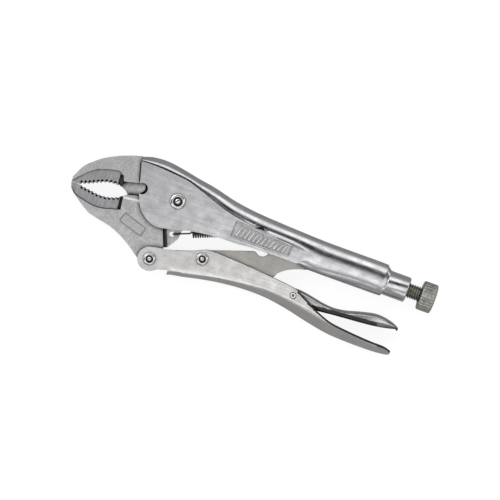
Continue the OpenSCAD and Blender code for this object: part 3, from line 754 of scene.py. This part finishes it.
thread_rows = [(x, lambda t, x=x: thread_r(x, t)) for x in spaced(SCREW_TIP, THREAD_TO, 0.16)]
screw = turned("screw_thread", [(SCREW_TIP, 0.5)] + thread_rows + [(THREAD_TO, 0.5)], 56, on_axis)
SHAFT_R = SCREW_R - 1
shaft = turned("screw_shaft", [(KNOB_FROM - 0.2, SHAFT_R), (KNOB_TO - 2, SHAFT_R)], 48, on_axis)
combine(screw, "UNION", [shaft])
smooth(screw, math.radians(60))

# The knob's profile starts at its front face, runs over a rounded rim and ends in a shallow dish.
GROOVES, GROOVE_DEPTH, RIM_R = 26, 0.34, 1.6
knob_rim = [(0, 5.2), (0, 7.3), (0.12, 7.75)]
knob_rim += [(1.25 - 1.13 * math.cos(math.radians(a)), KNOB_R - RIM_R + RIM_R * math.sin(math.radians(a)))
             for a in range(15, 91, 15)]
knob_len = KNOB_TO - KNOB_FROM
profile = knob_rim + [(s, KNOB_R) for s in spaced(RIM_R, knob_len - RIM_R, 0.4)]
profile += [(knob_len - s, r) for s, r in knob_rim[::-1][:-1]]
profile += [(knob_len, 4.4), (knob_len - 0.35, 3.9), (knob_len - 0.35, 0.3)]


def ribbed(r):
    """A radius that dips into the grooves between the ribs, less so towards the knob's ends."""
    share = max(0.0, min(1.0, (r - (KNOB_R - 1.5)) / 1.3))

    def at(t):
        wave = 0.5 + 0.5 * math.cos(GROOVES * t)
        return r - GROOVE_DEPTH * share * wave ** 2.2
    return at


knob_rows = [(KNOB_FROM, 3.4)] + [(KNOB_FROM + s, ribbed(r)) for s, r in profile]
knob = turned("knob_body", knob_rows, 12 * GROOVES, on_axis)
smooth(knob, math.radians(40))

# ---------------------------------------------------------------- spring

# The wire's path is worked out along the line from the hole in the tab to the bar in the frame.
WIRE_R, COIL_R, COIL_PITCH, COIL_STEPS = 0.5, 2.7, 1.5, 28
HOOK, HOOK_R = 13, 1.9
span = Vector((bar_at[0] - HOLE[0], bar_at[1] - HOLE[1]))
span_len = span.length
coil_len = span_len - 2 * HOOK
turns = int(coil_len / COIL_PITCH)
hook_x = HOLE_R - 0.7
front_hook = [(hook_x + 1.6, 0, -COIL_R - 0.4), (hook_x + 0.4, 0, -COIL_R - 0.1), (hook_x, 0, -TAB_HALF),
              (hook_x, 0, TAB_HALF), (hook_x + 0.5, 0, COIL_R - 0.2), (hook_x + 1.4, 0, COIL_R),
              (HOOK - 4, 0, COIL_R), (HOOK - 1, 0, COIL_R)]
wire_path = curve(front_hook, 5)
for i in range(1, turns * COIL_STEPS + 1):
    t = 2 * math.pi * i / COIL_STEPS
    wire_path.append((HOOK + coil_len * i / (turns * COIL_STEPS), COIL_R * math.sin(t), COIL_R * math.cos(t)))
rear_hook = [(span_len - HOOK + 2, 0.6, COIL_R * 0.6), (span_len - HOOK + 5, HOOK_R, 0)]
rear_hook.append((span_len - 2, HOOK_R, 0))
rear_hook += [(span_len + x, y, 0) for x, y in arc((0, 0), HOOK_R, HOOK_R, 90, -120, 7)]
wire_path += curve(rear_hook, 3)
ca, sa = span.x / span_len, span.y / span_len


def on_span(x, y=0.0, z=0.0):
    return (HOLE[0] + x * ca - y * sa, HOLE[1] + x * sa + y * ca, z)


spring = tube("return_spring_wire", [on_span(*q) for q in wire_path], WIRE_R, 12)

# ---------------------------------------------------------------- rivets

JAW_HEAD_R, HEAD_R = 5, 4
WELL_SHARE, BUTTON_SHARE, WELL_DEPTH = 0.62, 0.36, 0.8


def rivet(name, c, head):
    """A rivet with a dome on both faces: in each a well, and a button at its bottom."""
    top = high(name).z
    rise = top - HALF_OUT
    skirt = 0.3 * rise
    dome = [(HALF_OUT + skirt * i / 2, head) for i in range(3)]
    for a in range(10, 91, 10):
        t = math.radians(a)
        dome.append((HALF_OUT + skirt + (rise - skirt) * math.sin(t), head - (1 - math.cos(t)) * head * 0.3))
    well, button, floor_z = head * WELL_SHARE, head * BUTTON_SHARE, top - WELL_DEPTH
    pit = [(top - 0.03, well), (top - 0.2, well - 0.12)]
    pit += [(floor_z + 0.05, well - 0.3), (floor_z, button + 0.1)]
    for a in range(90, 0, -12):
        pit.append((floor_z + 0.6 * math.cos(math.radians(a)), button * math.sin(math.radians(a))))
    pit.append((floor_z + 0.6, 0.05))
    half = [(HALF_OUT - 0.2, head)] + dome + pit
    rows = [(-s, r) for s, r in half[::-1]] + half
    return turned(name + "_head", rows, 64, lambda s, a, b: (c.x + a, c.y + b, s))


jaw_rivet = rivet("jaw_rivet", A, JAW_HEAD_R)
handle_rivet = rivet("handle_rivet", B, HEAD_R)
link_rivet = rivet("link_rivet", C, HEAD_R)
DIMPLE = 0.4
pin = post("lever_pin_rod", (E.x, E.y), PIN_R, -HALF_OUT, HALF_OUT, 40)
dimples = [post("dimple", (E.x, E.y), PIN_R * 0.45, z, z + 1, 24)
           for z in (HALF_OUT - DIMPLE, DIMPLE - HALF_OUT - 1)]
combine(pin, "DIFFERENCE", dimples)
rounded(pin, 0.25, 3)

# ---------------------------------------------------------------- materials


def metal(name, dark, light, rough, mottle=0.5, grain=0.25, streak=0.25, along=(0.02, 1.2, 0.3), grit=1.4,
          bump=0.06, metallic=1.0, coat=0.0, spread=0.08, shade_reach=2.2):
    """A worn metal: soft mottling, fine grain and streaks that run along the part.

    mottle, grain and streak are the strength of each, along and grit their scales per mm, and the last
    argument is the reach of the painted shade that darkens corners and the feet of walls, in mm.
    """
    mat = bpy.data.materials.new(name)
    mat.use_nodes = True
    nt = mat.node_tree
    new, link_to = nt.nodes.new, nt.links.new
    shader = nt.nodes["Principled BSDF"]
    shader.inputs["Metallic"].default_value = metallic
    shader.inputs["Coat Weight"].default_value = coat
    shader.inputs["Coat Roughness"].default_value = 0.15
    coords = new("ShaderNodeTexCoord")

    def noise(scale, detail, size=(1, 1, 1)):
        stretch = new("ShaderNodeMapping")
        stretch.inputs["Scale"].default_value = [1000 * s for s in size]
        link_to(coords.outputs["Object"], stretch.inputs["Vector"])
        tex = new("ShaderNodeTexNoise")
        tex.inputs["Scale"].default_value = scale
        tex.inputs["Detail"].default_value = detail
        link_to(stretch.outputs["Vector"], tex.inputs["Vector"])
        return tex.outputs["Fac"]

    def maths(kind, a, b):
        node = new("ShaderNodeMath")
        node.operation = kind
        for socket, value in zip(node.inputs, (a, b)):
            if isinstance(value, (int, float)):
                socket.default_value = value
            else:
                link_to(value, socket)
        return node.outputs["Value"]

    cloudy, fine, lines = noise(0.16, 4), noise(grit, 2), noise(1.0, 3, along)
    mix = maths("ADD", maths("MULTIPLY", maths("SUBTRACT", cloudy, 0.5), 2 * mottle),
                maths("ADD", maths("MULTIPLY", maths("SUBTRACT", fine, 0.5), 2 * grain),
                      maths("MULTIPLY", maths("SUBTRACT", lines, 0.5), 2 * streak)))
    share = maths("ADD", mix, 0.5)
    ramp = new("ShaderNodeValToRGB")
    ramp.color_ramp.elements[0].color = (*dark, 1)
    ramp.color_ramp.elements[1].color = (*light, 1)
    link_to(share, ramp.inputs["Fac"])
    # painted shade: ambient occlusion darkens the base colour in corners, creases and at the feet of walls
    corner = new("ShaderNodeAmbientOcclusion")
    corner.samples = 6
    corner.inputs["Distance"].default_value = shade_reach * MM
    lit_share = new("ShaderNodeMapRange")
    lit_share.inputs["From Min"].default_value = 0.52
    lit_share.inputs["From Max"].default_value = 0.9
    lit_share.inputs["To Min"].default_value = 0.03
    link_to(corner.outputs["AO"], lit_share.inputs["Value"])
    shaded = new("ShaderNodeMix")
    shaded.data_type = "RGBA"
    shaded.blend_type = "MULTIPLY"
    shaded.inputs["Factor"].default_value = 1.0
    link_to(ramp.outputs["Color"], shaded.inputs["A"])
    link_to(lit_share.outputs["Result"], shaded.inputs["B"])
    link_to(shaded.outputs["Result"], shader.inputs["Base Color"])
    spread_node = new("ShaderNodeMapRange")
    spread_node.inputs["From Min"].default_value = 0.2
    spread_node.inputs["From Max"].default_value = 0.8
    spread_node.inputs["To Min"].default_value = rough + spread
    spread_node.inputs["To Max"].default_value = max(0.04, rough - spread)
    link_to(share, spread_node.inputs["Value"])
    link_to(spread_node.outputs["Result"], shader.inputs["Roughness"])
    rise = new("ShaderNodeBump")
    rise.inputs["Strength"].default_value = bump
    rise.inputs["Distance"].default_value = 0.0002
    link_to(maths("ADD", noise(5, 2), maths("MULTIPLY", lines, 0.6)), rise.inputs["Height"])
    link_to(rise.outputs["Normal"], shader.inputs["Normal"])
    return mat


plated = metal("plated_sheet", (0.5, 0.495, 0.52), (0.86, 0.855, 0.875), 0.2, 0.5, 0.4, 0.3,
               (0.03, 0.5, 0.3), 1.4, 0.05)
handle_plate = metal("plated_handle", (0.62, 0.605, 0.59), (0.88, 0.865, 0.85), 0.23, 0.45, 0.2, 0.3,
                     (0.03, 0.4, 0.3), 1.4, 0.05)
forged = metal("forged_jaw", (0.36, 0.355, 0.36), (0.87, 0.865, 0.865), 0.34, 0.35, 0.7, 0.1,
               (0.1, 0.3, 0.3), 1.2, 0.16, shade_reach=3.4)
zone_metal = metal("forged_zone", (0.27, 0.265, 0.28), (0.56, 0.55, 0.57), 0.42, 0.2, 0.35, 0.6,
                   (1.6, 0.12, 0.3), 1.6, 0.2)
# near-black painted shade for edges, seams, rivet wells and deep hollows
painted_shade = metal("painted_shade", (0.025, 0.025, 0.025), (0.1, 0.1, 0.1), 0.45, 0.3, 0.3, 0.2,
                  (0.1, 0.3, 0.3), 2, 0.1)
# dark grey painted shade for seams, dimples, step walls and undersides
soft_painted_shade = metal("soft_painted_shade", (0.1, 0.1, 0.1), (0.3, 0.3, 0.3), 0.4, 0.3, 0.3, 0.2, (0.1, 0.3, 0.3), 2, 0.1)
# near-white painted highlight for the cutter's facet
cut_highlight = metal("cut_highlight_face", (0.85, 0.85, 0.85), (0.95, 0.95, 0.95), 0.3, 0.2, 0.2, 0.3,
                   (0.5, 0.1, 0.3), 1.5, 0.05, 0.3, shade_reach=0.3)
link_steel = metal("link_steel", (0.42, 0.4, 0.37), (0.62, 0.6, 0.56), 0.38, 0.5, 0.35, 0.2,
                   (0.05, 0.6, 0.3), 1.6, 0.12)
lever_metal = metal("lever_sheet", (0.46, 0.455, 0.455), (0.72, 0.715, 0.715), 0.22, 0.4, 0.2, 0.35,
                    (0.03, 0.7, 0.3), 1.5, 0.06)
dark_steel = metal("screw_steel", (0.3, 0.28, 0.22), (0.6, 0.58, 0.5), 0.3, 0.5, 0.3, 0.1,
                   (0.3, 0.3, 0.3), 2, 0.15, shade_reach=1.1)
knob_steel = metal("knob_steel", (0.22, 0.22, 0.195), (0.68, 0.675, 0.63), 0.4, 0.9, 0.7, 0.1,
                   (0.3, 0.3, 0.3), 0.9, 0.25)
wire_steel = metal("spring_wire", (0.015, 0.015, 0.016), (0.07, 0.07, 0.07), 0.3, 0.4, 0.3, 0.1,
                   (0.4, 0.4, 0.4), 5, 0.05, 0.6)
rivet_steel = metal("rivet_steel", (0.62, 0.615, 0.62), (0.85, 0.845, 0.85), 0.11, 0.4, 0.15, 0.15,
                    (0.3, 0.3, 0.3), 2, 0.03, spread=0.04, shade_reach=0.7)


def paint(obj, *finishes):
    """finishes are a material, then pairs of a material and the test for the faces that get it."""
    obj.data.materials.clear()
    obj.data.materials.append(finishes[0])
    for k, (mat, test) in enumerate(zip(finishes[1::2], finishes[2::2])):
        obj.data.materials.append(mat)
        for f in obj.data.polygons:
            if test((f.center - ORIGIN) / MM, f.normal):
                f.material_index = k + 1


# Each test takes a face's centre p, in working mm, and its normal n. Most of them find the edges of
# sheets and jaws that are dark in the photograph, which get painted shade.

FLAT = 0.9
UPPER_ZONE_END, LOWER_ZONE_END = -37, -33.4


def sunk(half, least, most, end, flat=True):
    """Faces sunk by least to most under a jaw's side, forward of end."""
    def test(p, n):
        return p.x < end and least < half - abs(p.z) < most and (abs(n.z) > FLAT or not flat)
    return test


def scribe_floor(half):
    def test(p, n):
        return p.x > -37.9 and abs(half - abs(p.z) - SCRIBE_DEPTH) < 0.05 and abs(n.z) > FLAT
    return test


def zone_rim(half, end, below):
    """The sloping wall round a sunk zone, forward of end and lower than below."""
    def test(p, n):
        return p.x < end and p.y < below and 0.02 < half - abs(p.z) < 0.95 and 0.1 < abs(n.z) < 0.93
    return test


def frame_front(p, n):
    sloping = 0.05 < abs(n.z) < 0.96 and abs(p.z) > HALF_OUT - 0.6
    return sloping and p.y < 18 and (p.x < -19 or (p.x < -2 and p.y < -10))


def brim_edge(p, n):
    return p.x > FOLD_FROM and p.y > BRIM.at(p.x)[0] - (0.4 if p.x < 92 else 1.3)


def lever_edge(p, n):
    return 92 < p.x < 150 and p.y < LEVER_LOW.at(p.x)[0] + 3.1


def lever_under(p, n):
    return p.x >= 150 - 1.4 and p.y < LEVER_LOW.at(p.x)[0] + 3.2 * min(1, (166 - p.x) / 14)


def relief_flank(p, n):
    return abs(n.z) < FLAT


def relief_ground(p, n):
    return p.z < HALF_OUT + GROUND_RISE + 0.04


def cut_face(p, n):
    return -36 < p.x < -21 and -9 < p.y < -1 and p.z > JAW_HALF - FACET_DEPTH + 0.01 and 0.3 < n.z < 0.97


def cutter_lip(p, n):
    return -34 < p.x < -19 and -6 < p.y < 1 and JAW_HALF - LIP_DEPTH - 0.3 < p.z < JAW_HALF - 0.9


def notch_floor(p, n):
    return abs(p.z + NOTCH_DEPTH) < 0.3


def tab_root(p, n):
    return abs(abs(p.z) - TAB_ROOT) < 0.3


def pin_seam(p, n):
    return math.hypot(p.x - E.x, p.y - E.y) < PIN_R + 0.8 and abs(p.z) < HALF_OUT - 0.02


def dimple_floor(p, n):
    return abs(abs(p.z) - HALF_OUT + DIMPLE) < 0.05


def rivet_well(c, head):
    def test(p, n):
        return 0.34 < math.hypot(p.x - c.x, p.y - c.y) / head < 0.61 and abs(p.z) > HALF_OUT - 1
    return test


# the sloping rounded front edge of the frame's sides is painted black as a painted shade line
paint(shell, plated, painted_shade, frame_front)
paint(anchor, plated)
paint(collar, plated)
# the relief's ground is painted darker and the flanks of its bars and border darker still, as painted shade
paint(panel, plated, forged, relief_ground, zone_metal, relief_flank)
# the sunk tooth zone takes the darker zone metal; its deeper end, the gaps between the teeth and the seam
# floors are painted black as painted shade
paint(fixed, forged, zone_metal, sunk(HALF_IN, 0.5, 1.2, UPPER_ZONE_END),
      painted_shade, sunk(HALF_IN, 1.2, 4, UPPER_ZONE_END, False), painted_shade, scribe_floor(HALF_IN))
# as on the upper jaw, with the zone's lower wall, the tab root, the cutter lip and the notch crescent also
# painted as shade, and the cutter's facet painted bright as a painted highlight
paint(low_jaw, forged, zone_metal, sunk(JAW_HALF, 0.5, 1.2, LOWER_ZONE_END),
      painted_shade, sunk(JAW_HALF, 1.2, 4, LOWER_ZONE_END, False), soft_painted_shade, zone_rim(JAW_HALF, -35, -12),
      cut_highlight, cut_face, painted_shade, tab_root, painted_shade, cutter_lip, painted_shade, notch_floor)
# the handle's brim and the seam round the lever pin are painted dark as painted shade
paint(lower, handle_plate, painted_shade, brim_edge, soft_painted_shade, pin_seam)
paint(link, link_steel)
# the lever's underside is painted black, and dark grey towards its tail, as painted shade
paint(lever, lever_metal, painted_shade, lever_edge, soft_painted_shade, lever_under)
paint(screw, dark_steel)
paint(knob, knob_steel)
paint(spring, wire_steel)
# the ring round each rivet's well is painted black as painted shade
for part, c, head in ((jaw_rivet, A, JAW_HEAD_R), (handle_rivet, B, HEAD_R), (link_rivet, C, HEAD_R)):
    paint(part, rivet_steel, painted_shade, rivet_well(c, head))
# the floor of the lever pin's dimples is painted dark grey as painted shade
paint(pin, rivet_steel, soft_painted_shade, dimple_floor)

# ---------------------------------------------------------------- which CAD part each piece stands for

PIECES = [
    (shell, "upper", "plated_sheet", ["frame"]),
    (anchor, "upper", "plated_sheet", []),
    (collar, "upper", "plated_sheet", []),
    (panel, "upper", "plated_sheet", []),
    (fixed, "upper", "forged_jaw", ["fixed_jaw"]),
    (jaw_rivet, "upper", "rivet_steel", ["jaw_rivet"]),
    (low_jaw, "jaw", "forged_jaw", ["movable_jaw"]),
    (lower, "handle", "plated_sheet", ["lower_handle"]),
    (handle_rivet, "handle", "rivet_steel", ["handle_rivet"]),
    (link_rivet, "handle", "rivet_steel", ["link_rivet"]),
    (pin, "handle", "rivet_steel", ["lever_pin"]),
    (link, "link", "link_steel", ["toggle_link"]),
    (lever, "lever", "lever_sheet", ["release_lever"]),
    (screw, "screw", "screw_steel", ["adjusting_screw"]),
    (knob, "knob", "screw_steel", ["screw_knob"]),
]
for obj, body, finish, nodes in PIECES:
    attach(obj, body)
    if nodes:
        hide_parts(*nodes)

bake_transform(spring)
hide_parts("return_spring")

# ---------------------------------------------------------------- floor, light and camera


def plane(name, half, z, mat):
    me = bpy.data.meshes.new(name)
    corners = [(-half, -half, z), (half, -half, z), (half, half, z), (-half, half, z)]
    me.from_pydata(corners, [], [(0, 1, 2, 3)])
    obj = bpy.data.objects.new(name, me)
    me.materials.append(mat)
    bpy.context.scene.collection.objects.link(obj)
    return obj


floor_mat = bpy.data.materials.new("light_table")
floor_mat.use_nodes = True
nt = floor_mat.node_tree
board = nt.nodes["Principled BSDF"]
board.inputs["Base Color"].default_value = (0.22, 0.22, 0.22, 1)
board.inputs["Roughness"].default_value = 1.0
board.inputs["Specular IOR Level"].default_value = 0.0
board.inputs["Emission Color"].default_value = (1, 1, 1, 1)
board.inputs["Emission Strength"].default_value = 0.88
floor = plane("floor", 4.0, 0.0, floor_mat)
floor.visible_glossy = False

LIGHT_TURN = math.radians(40)
scene = bpy.context.scene
world_light = bpy.data.worlds.new("studio")
scene.world = world_light
world_light.use_nodes = True
nt = world_light.node_tree
background = nt.nodes["Background"]
coords = nt.nodes.new("ShaderNodeTexCoord")
parts = nt.nodes.new("ShaderNodeSeparateXYZ")
nt.links.new(coords.outputs["Generated"], parts.inputs["Vector"])
lean = nt.nodes.new("ShaderNodeMath")
lean.operation = "ARCTAN2"
across = nt.nodes.new("ShaderNodeVectorMath")
across.operation = "DOT_PRODUCT"
across.inputs[1].default_value = (-math.sin(LIGHT_TURN), math.cos(LIGHT_TURN), 0)
nt.links.new(coords.outputs["Generated"], across.inputs[0])
nt.links.new(across.outputs["Value"], lean.inputs[0])
nt.links.new(parts.outputs["Z"], lean.inputs[1])
share = nt.nodes.new("ShaderNodeMapRange")
share.inputs["From Min"].default_value = -math.pi
share.inputs["From Max"].default_value = math.pi
nt.links.new(lean.outputs["Value"], share.inputs["Value"])
bands = nt.nodes.new("ShaderNodeValToRGB")
nt.links.new(share.outputs["Result"], bands.inputs["Fac"])
nt.links.new(bands.outputs["Color"], background.inputs["Color"])
# Light by its lean from straight overhead, in degrees, across the line of LIGHT_TURN.
LIGHTS = [(-180, 0.3), (-95, 0.34), (-80, 0.34), (-32, 0.32), (-24, 0.6), (-18, 1.2), (-3, 1.2), (2.8, 0.7),
          (5.5, 0.01), (23, 0.01), (26, 0.4), (30, 1.3), (52, 1.3), (60, 0.5), (80, 0.3), (180, 0.28)]
ramp = bands.color_ramp
while len(ramp.elements) < len(LIGHTS):
    ramp.elements.new(0.5)
for element, (degrees, value) in zip(ramp.elements, LIGHTS):
    element.position = (degrees + 180) / 360
    element.color = (value, value, value, 1)


def softbox(name, place, size, power):
    data = bpy.data.lights.new(name, "AREA")
    data.shape = "RECTANGLE"
    data.size, data.size_y = size
    data.energy = power
    obj = bpy.data.objects.new(name, data)
    obj.location = place
    obj.rotation_euler = (-Vector(place)).to_track_quat("-Z", "Y").to_euler()
    scene.collection.objects.link(obj)
    return obj


softbox("soft_left", (-1.0, 0.5, 1.3), (0.8, 0.8), 4)
softbox("soft_front", (0.6, -1.0, 0.9), (0.9, 0.6), 1.4)

# The camera looks straight down. PLANE_MM is the width that it sees at the tool's middle plane.
PLANE_MM = 325.5
DISTANCE = 1.5
SENSOR = 36
CAMERA_TURN = math.radians(20)
camera = bpy.data.objects.new("camera", bpy.data.cameras.new("camera"))
camera.data.sensor_width = SENSOR
camera.data.lens = SENSOR * DISTANCE / (PLANE_MM * MM)
camera.data.clip_start = 0.01
camera.location = (0.0002, -0.0002, ORIGIN.z + DISTANCE)
camera.rotation_euler = (0, 0, CAMERA_TURN)
scene.collection.objects.link(camera)
scene.camera = camera
scene.view_settings.view_transform = "Standard"
